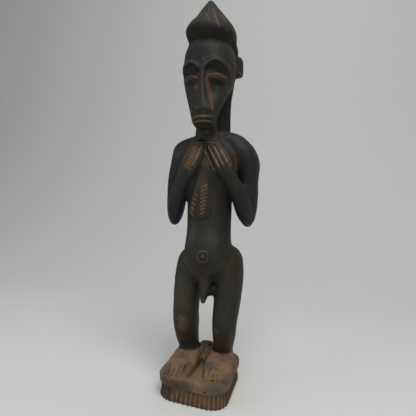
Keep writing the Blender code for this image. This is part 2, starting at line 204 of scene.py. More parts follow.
# %% [markdown]
# The brows and lids are long arches that start beside the nose and run back to the temples. One
# side is drawn and then shifted to either side, because a carved face is never quite even.


# %% Lay on the brows and lids
def shifted(points, side):
    """A stroke on one side of the face. The face is a little lower and narrower on its right."""
    return [(side * x + 0.04 * x, y, z + 0.7 * side, radius) for x, y, z, radius in points]


BROW = (
    (3.6, -37.4, 309.5, 0.8),
    (6.8, -37.8, 313.8, 1.2),
    (13, -36.6, 316.6, 1.5),
    (19, -32.8, 315.6, 1.5),
    (23.6, -25.3, 311.6, 1.2),
    (25.4, -17.8, 306.6, 0.9),
)
UPPER_LID = (
    (4.5, -36, 297.6, 0.8),
    (8, -37, 300.6, 1.1),
    (13.6, -36.2, 301.8, 1.3),
    (18.6, -31.4, 301.4, 1.2),
    (22.6, -23.6, 299.6, 1.0),
    (24.6, -18.6, 298.6, 0.7),
)
strokes = []
for side in (1, -1):
    strokes.append(stroke("brow", shifted(BROW, side)))
    strokes.append(stroke("upper_lid", shifted(UPPER_LID, side)))
print("strokes on the eyes:", len(strokes))

# %% [markdown]
# The lips are two level bars that follow the roundness of the face, the upper one much thicker.
# The navel is a button inside a ring, on the crown of the belly.

# %% Lay on the lips and the navel
LIP_ARC = ((-9.5, 3, 1.0), (-4, -2.2, 1.4), (1, -3.8, 1.5), (6, -2.2, 1.4), (11, 3, 1.0))
LIP_FRONT = -38
NAVEL_X, NAVEL_Z = 1.5, 119
NAVEL_RADIUS = 5.6

for name, height, swell in (("upper_lip", 258.6, 1.6), ("lower_lip", 253.9, 0.75)):
    lip = [(x, y + LIP_FRONT, height + 0.06 * x, swell * radius) for x, y, radius in LIP_ARC]
    strokes.append(stroke(name, lip))
ring = []
for turn in np.linspace(0, 2 * math.pi, 17):
    across, up = NAVEL_RADIUS * math.cos(turn), NAVEL_RADIUS * math.sin(turn)
    ring.append((NAVEL_X + across, -34.2 + 0.14 * abs(up), NAVEL_Z + up, 1.3))
strokes.append(stroke("navel_ring", ring))
button = [(NAVEL_X, y, NAVEL_Z, radius) for y, radius in ((-31, 3.2), (-34.6, 3), (-36, 1.6))]
strokes.append(stroke("navel_button", button))
print("strokes in all:", len(strokes))

# %% [markdown]
# All of these overlap. Joined and remeshed on a fine grid of voxels they become one closed skin,
# as a single block should be, with faces small enough to carve. Smoothing takes out the steps
# that the voxels leave.

# %% Fuse everything into one skin
FINE_VOXEL = 0.6
VOXEL = FINE_VOXEL

pick(body, plinth, *strokes)
bpy.ops.object.join()
body.name = "carved_figure"
remesh = body.modifiers.new("Fuse", "REMESH")
remesh.mode = "VOXEL"
remesh.voxel_size = VOXEL * MM
easing = body.modifiers.new("Ease", "SMOOTH")
easing.factor = 0.5
easing.iterations = 5
apply_all(body)
print("skin:", len(body.data.vertices), "points")

# %% [markdown]
# The rest is carving, and a carver's cuts are easiest to say as places and depths. The skin's
# points are read into arrays, in the straight drawing, and each cut pushes the points near a line
# or a spot along their own outward directions. It is what a sculpting brush does, written down so
# that it gives the same result each time. Beside the points goes one more list, bare, which notes
# where a cut went through the dark skin to the wood.

# %% Read the skin's points
X, Y, Z = 0, 1, 2


def read(values, name):
    flat = np.empty(len(values) * 3, np.float32)
    values.foreach_get(name, flat)
    return flat.reshape(-1, 3).astype(float)


points = read(body.data.vertices, "co") / MM
points[:, Z] -= PLINTH_TOP
points[:, X] -= sway(points[:, Z])
outward = read(body.data.vertex_normals, "vector")
bare = np.zeros(len(points))
print("lowest and highest point, mm:", points[:, Z].min().round(1), points[:, Z].max().round(1))

# %% [markdown]
# Old carving is never quite regular, so a few things below lean on a cloud: soft random values on
# a grid of cells, blended between the cell corners. The seed is fixed, so the clouds stay put.

# %% Make the cloud
def eased(value, low, high):
    """0 below low, 1 above high, and a soft step between."""
    share = np.clip((value - low) / (high - low), 0, 1)
    return share * share * (3 - 2 * share)


def cloud(spots, size, seed):
    """Soft random values from -1 to 1, that change over about the given size in millimetres."""
    table = np.random.default_rng(seed).uniform(-1, 1, 5003)
    cell = np.floor(spots / size).astype(int)
    share = spots / size - cell
    share = share * share * (3 - 2 * share)
    total = np.zeros(len(spots))
    for corner in np.ndindex(2, 2, 2):
        weight = np.prod(np.where(corner, share, 1 - share), axis=1)
        total += weight * table[((cell + corner) @ (73, 1791, 283)) % len(table)]
    return total


print("a cloud's spread:", cloud(points[::50], 5, 1).std().round(2))

# %% [markdown]
# Two tools do the carving. Press moves everything near a spot, for dents and swellings. Cut runs a
# gouge along a drawn line: it finds how far each point is from the line, seen from the front or
# from the side, and sinks the near ones. It works on the facing side alone, so that a line drawn on
# the chest doesn't mark the back.


# %% Make the carving tools
def patch(centre, radii):
    """1 at a centre, falling softly to 0 at the edge of an ellipsoid."""
    away = (((points - centre) / radii) ** 2).sum(axis=1)
    return np.clip(1 - away, 0, 1) ** 2


def press(centre, radii, push):
    """Pushes a soft round dent or swelling."""
    points[:] += patch(centre, radii)[:, None] * np.array(push, float)


def cut(path, width, depth, seen=Y, reach=7, showing=1.0, blunt=0.12):
    """Runs a gouge along a line that is drawn on the front (seen along Y) or a side (along X).

    The cut is as deep as asked along its middle and comes up at both ends, and a negative depth
    raises a ridge. Only points that face the viewer and lie within the reach are cut.
    """
    path = np.array(path, float)
    margin = np.full(3, float(width))
    margin[seen] = reach
    facing = outward[:, seen] * np.sign(path[:, seen].mean()) > 0.1
    inside = ((points > path.min(axis=0) - margin) & (points < path.max(axis=0) + margin)).all(axis=1)
    near = np.flatnonzero(facing & inside)
    flat = [axis for axis in (X, Y, Z) if axis != seen]
    here, line = points[near][:, flat], path[:, flat]
    lengths = np.linalg.norm(np.diff(line, axis=0), axis=1)
    starts = np.concatenate([[0], np.cumsum(lengths)])
    gap, along = np.full(len(near), np.inf), np.zeros(len(near))
    for k, length in enumerate(lengths):
        run = (line[k + 1] - line[k]) / length
        place_on = np.clip((here - line[k]) @ run, 0, length)
        away = np.linalg.norm(here - line[k] - place_on[:, None] * run, axis=1)
        closer = away < gap
        gap[closer] = away[closer]
        along[closer] = (starts[k] + place_on)[closer] / starts[-1]
    ends = np.clip(np.minimum(along, 1 - along) / blunt, 0.25, 1)
    share = np.clip(1 - gap / width, 0, 1) * ends
    points[near] -= outward[near] * (depth * share)[:, None]
    bare[near] = np.maximum(bare[near], showing * eased(share, 0.05, 0.6))


def both(path):
    """A line and its mirror image on the figure's right."""
    return path, [(-x, y, z) for x, y, z in path]


print("carving tools ready")

# %% [markdown]
# The face is the most worked part. The carver sank the eyes under high arched brows, left a thin
# raised lid over each, and cut sharp walls down both sides of the nose, where light wood shows.

# %% Sink the eyes and wall the nose
for side in (1, -1):
    press((side * 13.5 + 0.5, -38, 307), (10, 9, 6.5), (0, 1.8, 0))
    press((side * 22 + 0.5, -27, 306), (5, 7, 5.5), (-side * 1.0, 1.0, 0))
EYE_SLIT = [(5.5, -35, 295), (10, -34, 294.4), (16, -31, 294.6), (21, -25, 296.4), (24, -21, 298.4)]
for line in both(EYE_SLIT):
    cut(line, 3.2, 1.1, reach=9, showing=0.0, blunt=0.2)
NOSE_LEFT = [(4.8, -38, 301), (5.8, -38, 294), (7.6, -37, 284), (10.2, -37, 271), (11.2, -38, 265)]
NOSE_RIGHT = [(-3.4, -38, 301), (-3.9, -38, 294), (-4.8, -37, 284), (-6.4, -37, 271), (-7, -38, 265)]
cut(NOSE_LEFT, 2.9, 0.5, showing=0.56)
cut(NOSE_RIGHT, 2.0, 0.5, showing=0.34)
print("points that show bare wood:", int((bare > 0.5).sum()))

# %% [markdown]
# Hands have worn the crests of the brows, lids and lips down to light wood. A cut of only a tenth
# of a millimetre marks that without changing the shape. Deeper ones sink the base of the nose, the
# slot between the lips, and the fold under them.

# %% Wear the brows, lids and lips
for line in both([(x, y, z - 0.2) for x, y, z, radius in BROW]):
    cut(line, 1.5, 0.1, reach=5, showing=0.36)
for line in both([(x, y, z + 0.6) for x, y, z, radius in UPPER_LID]):
    cut(line, 1.7, 0.1, reach=5, showing=0.42)
cut([(-7, -40, 264), (2, -44, 264.4), (11, -40, 264.4)], 1.6, 0.7, showing=0.0)
cut([(-9.5, -37, 255.8), (1, -41, 256.2), (11, -37, 256.4)], 0.8, 0.3, showing=0.0)
cut([(-9, -36, 251.4), (1, -38, 251), (10.5, -36, 251.6)], 1.7, 1.0, showing=0.0)
cut([(-9, -38, 258.6), (1, -42, 259), (10.5, -38, 259.4)], 2.8, 0.1, showing=0.5)
cut([(-9, -38, 253.6), (1, -42, 254), (10.5, -38, 254.6)], 1.1, 0.1, showing=0.5)
print("points that show bare wood:", int((bare > 0.5).sum()))

# %% [markdown]
# A fine line runs down each side of the face to the chin. It is a low ridge with a shallow cut
# behind it, drawn from the side, where the jaw turns away from the front.

# %% Edge the jaw
JAW = (
    (24, -7, 292),
    (21.3, -12.4, 284),
    (19, -16.6, 277.6),
    (16.8, -20.2, 271.7),
    (13.5, -23.4, 261.7),
    (11.3, -23.2, 255),
)
for line in both(JAW):
    cut([(x, y + 1.5, z) for x, y, z in line], 1.6, 0.8, seen=X, showing=0.0)
    cut(line, 0.7, -0.2, seen=X, showing=0.45)
print("points that show bare wood:", int((bare > 0.5).sum()))

# %% [markdown]
# The hair is combed in fine lines. On the cap they run down from the peak, on the temples they run
# back over the ears, and on the queue they hang straight. Each set is a ripple: a saw-toothed wave
# across the hair, whose V-shaped valleys are the cuts.


# %% Make the comb
def comb(phase, mask, depth):
    """Sinks V-shaped valleys wherever the phase passes a whole number."""
    wander = 0.25 * cloud(points, 9, 3)
    valley = np.clip(1 - 2.6 * np.abs((phase + wander) % 1 - 0.5), 0, 1)
    points[:] -= outward * (depth * mask * valley)[:, None]
    return mask * valley


def hairline(height):
    """How far back the hair of the temple starts, by height."""
    return np.interp(height, (296, 305, 318, 330, 337, 341, 346), (8, 4, 2, 1, 0, -6, -24))


print("hair starts at the ear, mm:", hairline(318))

# %% [markdown]
# On the cap the lines fan out from the peak, so the wave runs round it by angle. A few long streaks
# of light wood show where the edges of the cap have been rubbed.

# %% Comb the cap
CAP_LINES = 60

x, y, z = points.T
turn = np.arctan2(y + 3, x + 1)
radius = np.hypot(x + 1, y + 3)
upper_cap = eased(z, 347, 352) * eased(outward[:, Z], 0.0, 0.25) * eased(radius, 2.5, 7)
combed = comb(turn * CAP_LINES / (2 * np.pi), upper_cap, 0.34)
STREAKS = (
    [(0.6, -28, 368.6), (4, -34, 361), (7, -39, 355)],
    [
        (4, -14, 381),
        (5.5, -18, 377.4),
        (10, -28, 366),
        (14.3, -36, 355.1),
        (16.5, -36, 349),
        (17.1, -34, 344.9),
    ],
    [(13, -14, 372), (16.9, -20, 366.5), (22.5, -26, 354.9)],
    [(-5, -22, 374), (-7.5, -30, 364), (-9, -35, 357)],
)
for line, showing in zip(STREAKS, (0.7, 0.75, 0.55, 0.5)):
    cut(line, 0.95, 0.25, reach=12, showing=showing)
print("combed on the cap:", int((combed > 0.5).sum()), "points")

# %% [markdown]
# The queue and the temples each have a mask: a product of soft steps that is 1 only there. The
# wave runs across the queue behind, from front to back on its sides, and up the temples.

# %% Comb the queue and the temples
HAIR_PITCH = 2.3

queue = eased(y, 6, 11) * (z > 240) * (1 - eased(z, 344, 350)) * (np.abs(x) < 23.5)
behind = eased(outward[:, Y], 0.4, 0.7)
combed += comb(x / HAIR_PITCH, queue * behind, 0.42)
below_ear = queue * (1 - behind) * (1 - eased(z, 298, 304))
combed += comb(y / HAIR_PITCH, below_ear * eased(np.abs(outward[:, X]), 0.3, 0.6), 0.42)
temple = eased(y - hairline(z), 0.5, 1.5) * (1 - eased(y, 14, 18)) * (z > 297) * (z < 352)
temple *= eased(np.abs(outward[:, X]), 0.3, 0.6) * (np.abs(x) < 28.3)
combed += comb((z - 0.35 * y) / HAIR_PITCH, temple * (1 - below_ear), 0.42)
print("combed in all:", int((combed > 0.5).sum()), "points")

# %% [markdown]
# A fine cut marks the hairline, over the forehead and down both temples. On the temples a low ridge
# runs in front of it, as if the skin were drawn up to the hair.

# %% Cut the hairline
FRONT_HAIRLINE = (
    (-16.3, -29.2, 333.6),
    (-10.9, -33, 334.1),
    (-5, -35, 333.7),
    (2.3, -35.4, 333.9),
    (9.2, -34, 334.5),
    (16.2, -28.8, 336.2),
    (21.5, -19, 338.4),
)
cut(FRONT_HAIRLINE, 1.1, 0.5, showing=0.25)
SIDE_HAIRLINE = (
    (21.5, -19, 338.4),
    (23, -6, 341),
    (25, 0, 337),
    (27, 1, 330),
    (27, 2, 318),
    (26, 4, 305),
    (24, 8, 296),
)
for line in both(SIDE_HAIRLINE):
    cut(line, 1.2, 0.7, seen=X, showing=0.1)
    cut([(x, y - 1.2, z) for x, y, z in line], 0.9, -0.3, seen=X, showing=0.3)
print("hairline points:", len(FRONT_HAIRLINE) + 2 * len(SIDE_HAIRLINE))

# %% [markdown]
# The ears are square rings set into the hair, each with one upright cut. The neck has three rings
# round it, a sign of good health in Baule carving, and a thin collar line where the fingertips end.

# %% Cut the ears and the neck
NECK_RINGS = (249.4, 246.2, 243)

for side in (1, -1):
    upright = [(side * 30.2, 3, 332), (side * 29.9, 3, 323), (side * 30.2, 3, 314)]
    cut(upright, 1.1, 1.0, reach=8, showing=0.1)
    rim = [(side * 32, 5, 330.5), (side * 32, 13, 330.5), (side * 32, 13, 316), (side * 32, 5, 316)]
    cut(rim, 1.1, 0.6, seen=X, showing=0.1)
neck = eased(13.5 - np.hypot(points[:, X] + 2.5, points[:, Y] + 4), 0, 1)
for ring_height in NECK_RINGS:
    sag = 0.02 * points[:, X] ** 2
    valley = neck * np.clip(1 - np.abs(points[:, Z] - ring_height - sag) / 0.8, 0, 1)
    points -= outward * (0.4 * valley)[:, None]
    bare = np.maximum(bare, 0.35 * valley)
COLLAR = [(-14, -23.6, 234.6), (-7.6, -23, 236), (0.1, -20, 237), (8.4, -23.4, 235.8), (13.6, -24.2, 234)]
cut(COLLAR, 1.2, -0.6, reach=8, showing=0.45)
cut([(x, y, z + 2) for x, y, z in COLLAR], 1.5, 0.7, reach=8, showing=0.0)
print("neck rings:", len(NECK_RINGS))

# %% [markdown]
# The fingers are parted by straight gouge cuts that show light wood, four on each hand. They run
# outwards and down from the base of the neck.

# %% Part the fingers
LEFT_FINGERS = (
    [(-2, -23, 230), (1.2, -23, 221), (6.5, -25, 210.5), (11, -25, 204.2)],
    [(1.5, -22, 234.5), (6.2, -28, 225.1), (11.7, -30, 216.7), (16.1, -30, 208.6)],
    [(9.5, -25, 232.8), (12.5, -28, 225), (16.9, -30, 216.6), (21.3, -30, 210.6)],
    [(15.7, -27, 229.3), (19.5, -29, 222.9), (24.1, -30, 214.6)],
)
RIGHT_FINGERS = (
    [(-4.4, -25, 232.6), (-7.7, -28, 224.4), (-11.4, -30, 214.9), (-14.2, -30, 209.8)],
    [(-7.5, -25, 232.6), (-12.6, -30, 220), (-17.4, -31, 209.8)],
    [(-11.7, -26, 232.6), (-17.3, -29, 221.3), (-21.3, -32, 210.7)],
    [(-15, -26, 232), (-20.4, -29, 224.5), (-22.8, -31, 216.9)],
)
for line in LEFT_FINGERS:
    cut(line, 1.45, 0.9, showing=0.85)
for line, showing in zip(RIGHT_FINGERS, (0.85, 0.5, 0.5, 0.4)):
    cut(line, 1.1, 0.6, showing=showing)
print("finger cuts:", len(LEFT_FINGERS) + len(RIGHT_FINGERS))

# %% [markdown]
# The figure's right hand is also hatched with short crossing cuts. The inner edges of both hands
# are outlined, and a thin arc of light wood lies over the navel.

# %% Hatch the hand, outline the palms and arch the navel
HATCHES = 7
HATCH_PITCH = 3.4

for k in range(HATCHES):
    middle, height = -10.4 - 1.3 * k, 231 - HATCH_PITCH * k
    cut([(middle - 5, -28, height + 2.8), (middle + 4, -28, height - 2.8)], 0.85, 0.4, showing=0.65)
    cut([(middle - 4.4, -28, height - 3.4), (middle + 3, -28, height + 3.4)], 0.85, 0.35, showing=0.6)
PALMS = (
    [(-0.5, -27, 236), (-2.6, -24, 222), (-7.5, -26, 206)],
    [(0.4, -27, 236), (0.8, -24, 222), (5, -26, 207)],
)
for line in PALMS:
    cut(line, 1.2, 0.8, reach=9, showing=0.0)
NAVEL_ARC = [(-4.3, -33, 121.8), (-2, -33, 124.2), (1.5, -33, 125), (5, -33, 124.2), (7.2, -33, 121.8)]
cut(NAVEL_ARC, 1.3, 0.1, reach=6, showing=0.45)
print("hatch lines:", 2 * HATCHES)

# %% [markdown]
# On the chest is a raised, tie-shaped field of herringbone scars, like those that Baule men wore.
# Two columns of slanting cuts make it, and each cut is placed by counting k down its column. The
# upper end has been rubbed almost smooth, and the two lower corners of the field are rounded off.

# %% Cut the scars
SCAR_PITCH = 3.85
OUTER_PITCH = 4.7

for k in range(-2, 8):
    height = 188.6 - SCAR_PITCH * k
    worn_off = eased(height, 186, 195)
    length = 8.1 - 0.27 * abs(k)
    start = (-4.8 - 0.05 * k, -25, height)
    end = (start[0] + length, -25, height + 0.53 * length)
    cut([start, end], 1.25, 0.8 - 0.5 * worn_off, showing=0.75 - 0.5 * worn_off)
for k in range(-2, 5):
    start = (-11.4 - 0.95 * k, -25, 184.4 - OUTER_PITCH * k)
    end = (start[0] + 4.6 - 0.42 * k, -25, start[2] - 4.1 - 0.52 * k)
    faint = 0.35 if k < 0 else 1.0
    cut([start, end], 1.25, 0.8 * faint, showing=0.7 * faint)
for corner in ((-15.5, -26, 157.5), (2, -26, 157)):
    press(corner, (4.5, 5, 4.5), (0, 1.3, 0))
print("showing bare wood:", int((bare > 0.5).sum()), "points")

# %% [markdown]
# Softer folds part the limbs from the trunk: the armpits, the bend of the elbows, the groin and the
# spine. They are drawn as broad shallow cuts.

# %% Fold the limbs
FOLDS = (
    ([(28.5, -13.3, 224), (29, -11.8, 216), (29.4, -9.4, 208)], Y, 1.6, 1.2, 0.5),
    ([(25.5, -10, 127), (25, -18, 113), (16, -21.5, 100), (8, -21, 94)], Y, 2.6, 1.1, 0.12),
    ([(32, -6, 160), (30, -8, 175), (27, -16, 190), (24, -20, 200)], X, 1.6, 0.8, 0.1),
)
for path, seen, width, depth, showing in FOLDS:
    for line in both(path):
        cut(line, width, depth, seen=seen, reach=9, showing=showing)
cut([(0, 26, 224), (0, 22, 200), (0, 19, 165), (0, 20, 132)], 5, 1.2, reach=12, showing=0.0)
cut([(0, 26, 119), (0, 27, 106), (0, 22, 92)], 2.6, 1.6, reach=12, showing=0.0)
print("folds:", 2 * len(FOLDS) + 2)

# %% [markdown]
# The toes are parted by four short notches on each foot, each cut on the front and lowered a little
# on top. The worn front corner of the slab shows light wood along its edge.

# %% Part the toes
TOE_PITCH = 5.0

for side, middle in ((1, 20.5), (-1, 19.6)):
    for k in range(4):
        across = side * (middle + TOE_PITCH * (k - 1.5))
        cut([(across, -37, 6), (across + side, -47, 0)], 1.2, 0.55, showing=0.0, reach=6)
        near = np.clip(1 - np.abs(points[:, X] - across) / 1.3, 0, 1)
        near *= eased(-points[:, Y], 37, 41) * (points[:, Z] > 0) * (points[:, Z] < 8)
        points[:, Z] -= 0.3 * near
SLAB_EDGE = [(-38, -33, -1.2), (-33, -39.5, -1), (-26, -44, -0.8)]
cut(SLAB_EDGE, 1.4, 0.1, reach=6, showing=0.8)
print("points that show bare wood:", int((bare > 0.5).sum()))

# %% [markdown]
# Nothing on it is new. The rim of the plinth is knocked and rounded, and the flutes have lost some
# of their edge. Clouds of a few sizes give this, and two presses make the deepest knocks.

# %% Wear the plinth
KNOCK_DEPTH = 1.5
FLUTE_WEAR = 0.3

x, y, z = points.T
in_slab = eased(z, -14, -11.5) * (1 - eased(z, -1.5, 0.5))
knocks = np.clip(cloud(points, 4.5, 11) + 0.4 * cloud(points, 1.9, 12) - 0.3, 0, 1)
points -= outward * (KNOCK_DEPTH * knocks * in_slab)[:, None]
press((12.4, -51, -9.6), (4.2, 3.2, 1.7), (0, 2.4, 0))
press((-20, -49, -1.5), (6, 4, 3), (0, 1.2, -0.9))
in_tier = 1 - eased(z, -14, -12.5)
ragged = cloud(points * (1, 1, 0.4), 2.2, 13) + 0.2
points -= outward * (FLUTE_WEAR * in_tier * ragged)[:, None]
print("deepest knock, mm:", (KNOCK_DEPTH * knocks * in_slab).max().round(2))

# %% [markdown]
# The wood between the heels was left as the axe split it, and everything above the plinth keeps the
# faint flat marks of the knife. Last, nothing may hang below the plinth's underside.

# %% Split the wood and leave the knife's marks
SPLIT_DEPTH = 1.5
KNIFE_DEPTH = 0.42
PORE_DEPTH = 0.07

between_heels = patch((-1, 2, 9), (12, 13, 14)) * (z > 1)
split = cloud(points * (1, 1, 0.45), 2.6, 14) + 0.5 * cloud(points, 1.2, 15)
points += outward * (SPLIT_DEPTH * np.sqrt(between_heels) * split)[:, None]
above = eased(z, 0, 4)
knife = np.abs(cloud(points * (1, 1, 0.6), 6.5, 16))
points -= outward * (above * (KNIFE_DEPTH * knife + PORE_DEPTH * cloud(points, 1.6, 17)))[:, None]
points[:, Z] = np.maximum(points[:, Z], -PLINTH_TOP)
print("knife marks, mm:", (KNIFE_DEPTH * knife).max().round(2))

# %% [markdown]
# A painter's eye asks where the surface is hollow and where it stands proud, because dirt lies in
# the first, along with painted shade, and hands rub the second, along with a painted highlight.
# Smoothing the points and seeing which way they move tells: they move out of hollows and into
# ridges. This is worked out once from the mesh's edges.

# %% Find the hollows and ridges
corners = np.empty(len(body.data.edges) * 2, np.int32)
body.data.edges.foreach_get("vertices", corners)
one, other = corners.reshape(-1, 2).T
neighbours = np.bincount(one, minlength=len(points)) + np.bincount(other, minlength=len(points))


def smoothed(values, rounds):
    """Each point's value moved halfway to its neighbours' average, a number of times."""
    for _ in range(rounds):
        total = np.bincount(one, values[other], len(values)) + np.bincount(other, values[one], len(values))
        values = 0.5 * values + 0.5 * total / neighbours
    return values


def rise(rounds):
    """How far smoothing moves each point outwards, in millimetres."""
    moved = np.column_stack([smoothed(points[:, axis], rounds) for axis in (X, Y, Z)]) - points
    return (moved * outward).sum(axis=1)


fine, grooves, broad = rise(6), rise(24), rise(60)
hollow = np.clip(smoothed(fine / 0.16 + broad / 0.9, 2), 0, 1)
ridge = np.clip(smoothed(-fine / 0.16 - broad / 0.9, 2) - 0.15, 0, 1)
print("hollow and ridge, on average:", hollow.mean().round(3), ridge.mean().round(3))

# %% [markdown]
# What the skin looks like at each point is kept as numbers on the mesh, so that the material can
# read them. Rust comes first: the red-brown that shows where the black has thinned, round the eyes
# and the nose, in the folds and on the shins. It is laid as soft patches, broken up by a cloud. The
# same red-brown also paints a shadow line under the rim of the slab.

# %% Note the rust and the painted shadow line
def patches(*spots):
    """The strongest of several patches, each (x, y, z, radius to the side, to the front, upwards)."""
    total = np.zeros(len(points))
    for spot in spots:
        total = np.maximum(total, patch(spot[:3], spot[3:]) ** 0.5)
    return total


blotch = cloud(points, 4, 21) + 0.6 * cloud(points, 1.7, 22)
rust_and_shadow = patches(
    (9, -32, 304, 9, 12, 8),
    (21, -26, 302, 6, 12, 8),
    (-8, -33, 303, 7, 12, 8),
    (7.5, -34, 295, 5, 9, 8),
    (-6, -34, 294, 4, 9, 8),
    (8.5, -36, 281, 4.5, 9, 17),
    (-6, -36, 286, 3.5, 9, 14),
    (2, -42, 265, 10, 6, 4),
    (-11, -33, 337, 7, 8, 3.5),
    (29, -13, 216, 5, 9, 13),
    (31, -12, 196, 6, 8, 14),
    (-28, -12, 214, 4, 8, 10),
    (-3, -25, 216, 4, 8, 8),
    (25, -18, 111, 5, 8, 15),
    (-10, -24, 104, 7, 9, 18),
    (13, -6, 250, 6, 10, 5),
    (-21, -17, 34, 11, 14, 12),
    (20, -14, 28, 15, 14, 14),
)
rust_and_shadow *= eased(blotch + 1.2 * hollow, -1.1, 0.9)
streaks = patches((6, -22, 378, 5, 16, 17), (-4, -20, 376, 8, 12, 10), (13, -24, 362, 4, 12, 17))
rust_and_shadow = np.maximum(rust_and_shadow, streaks * eased(cloud(points * (1.6, 1, 0.3), 3, 23), -0.2, 0.5))
# A painted shadow line in the rust colour, where the slab's rim overhangs the tier.
under_slab_shadow = np.clip(1 - np.abs(points[:, Z] + 13.4) / 1.0, 0, 1)
rust_and_shadow = np.maximum(rust_and_shadow, 0.7 * under_slab_shadow)
rust_and_shadow = np.maximum(rust_and_shadow, 0.5 * patches((9.5, -22, 172, 5, 7, 12), (-18, -23, 39, 9, 10, 4)))
print("rust, on average:", rust_and_shadow.mean().round(3))

# %% [markdown]
# Soot is the deepest black. It is the real black of the combed hair and of parts of the plinth, and
# painted shade on the underside of the cap's roll, under the nose, below the hands and in the shade
# of the arms. Thick is a bluish tint, partly the thick black's own tone and partly a painted bluish
# sheen, on the upper arms, the forehead, the ridge of the nose and one side of the collar.

# %% Note the soot and painted shade, and the bluish tone and painted sheen
x, y, z = points.T
# The underside of the cap's roll is painted dark as shade.
roll_top = 353.6 - 0.012 * x**2
cap_roll_shade = eased(z, 337.5, 339) * (1 - eased(z, roll_top - 2, roll_top + 1))
soot_and_shade = np.maximum(cap_roll_shade, 0.75 * np.maximum(temple, queue * (z < 335)))
# Painted shade below the hands, in the shade of the arms and under the nose; the plinth's black is real.
soot_and_shade = np.maximum(soot_and_shade, patches((14, -27, 197, 13, 12, 15)) * 0.7)
soot_and_shade = np.maximum(soot_and_shade, patches((22, -12, 168, 17, 22, 66), (9, -12, 95, 13, 16, 52)) * 0.75)
soot_and_shade = np.maximum(soot_and_shade, patches((2, -41, 263.6, 10, 5, 3)) * 0.8)
soot_and_shade = np.maximum(soot_and_shade, patches((-22, -46, -7.5, 27, 12, 7), (42, -10, -6, 9, 34, 14)) * 0.9)
soot_and_shade = np.maximum(soot_and_shade, 0.75 * in_tier)
# Bluish tone, partly a painted bluish sheen on the arms, forehead, nose ridge and collar.
bluish_tone_and_sheen = patches(
    (36, -2, 195, 15, 22, 48),
    (-38, -2, 188, 15, 22, 50),
    (1, -45, 292, 9, 9, 30),
    (-5, -36, 322, 17, 12, 12),
    (17, -14, 236, 16, 12, 9),
)
print("soot and thick, on average:", soot_and_shade.mean().round(3), bluish_tone_and_sheen.mean().round(3))

# %% [markdown]
# Worn is the brown, handled wood of the feet and the plinth, up to a ragged line at the ankles.
# Bare is the light wood of the cuts. It also shows on the crests of the flutes, faintly on the
# knees, and as amber at the corners of the eyes, under the nose and on the neck.

# %% Note the worn and the bare wood
ANKLE = 15.2

ankle = ANKLE + blotch
worn = 1 - eased(z, ankle - 1.6, ankle + 1.6)
heels = patch((-1, 2, 11), (13, 16, 14)) ** 0.5
knees = patches((-21, -25, 47, 10, 14, 15), (13, -20, 41, 11, 12, 6))
worn = np.maximum(worn, heels * eased(blotch, -0.6, 0.3))
flutes = in_tier * eased(grooves, 0.08, 0.24) * eased(x, -27, -24)
bare = np.clip(bare * (0.85 + 0.2 * blotch), 0, 1)
bare = np.maximum(bare, flutes * (0.85 + 0.2 * blotch))
bare = np.maximum(bare, 0.52 * knees * (0.8 + 0.3 * blotch))
amber = patches(
    (8.5, -34, 291.5, 6, 8, 4),
    (-7, -34, 291, 5, 8, 4),
    (5.8, -36, 302, 3, 8, 4),
    (-4, -37, 302, 3, 8, 4),
    (22, -26, 300, 3.5, 8, 3),
    (2, -44, 262.6, 9, 5, 2),
    (1, -17, 249, 7, 7, 6),
    (15, -4, 247, 5, 9, 3),
)
bare = np.maximum(bare, 0.44 * amber * (0.8 + 0.4 * blotch))
print("worn and bare, on average:", worn.mean().round(3), bare.mean().round(3))

# %% [markdown]
# Grime is dirt in the hollows, with painted shade in it. Rubbed is the paler edge of whatever stands
# proud, worn and partly a painted highlight, and of the places that hands hold most, which are also
# painted lighter where they are lit: the neck, a cheek, a shoulder, the chest, the belly and a
# thigh. All seven lists are then written to the mesh, each as an attribute of its points.

# %% Note the grime and painted shade, the rubbed places and painted light, and keep them all
# Grime darkens the hollows: it is dirt, and also painted shade where the hollows would be in shade.
grime_and_shade = hollow * (0.75 + 0.25 * blotch)
# Patches of painted light, on the neck, a cheek, a shoulder, the chest, the belly and a thigh.
handled_and_lit = patches(
    (-4, -26, 196, 9, 6, 16),
    (-14, -24, 140, 9, 10, 26),
    (-26, -18, 76, 13, 14, 44),
    (-1, -18, 245, 12, 10, 10),
    (14, -30, 282, 7, 9, 12),
    (-34, -8, 226, 10, 12, 10),
)
# Rubbed: paler worn edges with a painted highlight, and the patches of painted light.
rubbed_and_lit = np.maximum(ridge * (1 - 0.8 * bluish_tone_and_sheen), 0.9 * handled_and_lit)

finish = {
    "bare": bare,
    "rust_and_shadow": rust_and_shadow,
    "worn": worn,
    "grime_and_shade": grime_and_shade,
    "rubbed_and_lit": rubbed_and_lit,
    "soot_and_shade": soot_and_shade,
    "bluish_tone_and_sheen": bluish_tone_and_sheen,
}
for name, values in finish.items():
    layer = body.data.attributes.new(name, "FLOAT", "POINT")
    layer.data.foreach_set("value", np.clip(values, 0, 1).astype(np.float32))
print("finish, on average:", {name: round(float(values.mean()), 3) for name, values in finish.items()})

# %% [markdown]
# The carved points go back into the mesh, bent to the block's middle line again. The skin still has
# far more faces than its flat parts need. Decimate merges those and keeps the faces where the cuts
# are, and it carries the noted numbers along.

# %% Put the points back and thin the mesh
MOST_TRIANGLES = 196000
points[:, X] += sway(points[:, Z])
points[:, Z] += PLINTH_TOP
body.data.vertices.foreach_set("co", (points * MM).astype(np.float32).ravel())
body.data.update()
triangles = sum(len(face.vertices) - 2 for face in body.data.polygons)
thinning = body.modifiers.new("Thin", "DECIMATE")
thinning.ratio = min(1.0, MOST_TRIANGLES / triangles)
apply_all(body)
bpy.ops.object.shade_smooth()
triangles = sum(len(face.vertices) - 2 for face in body.data.polygons)
print("triangles:", triangles, "attributes:", [layer.name for layer in body.data.attributes])

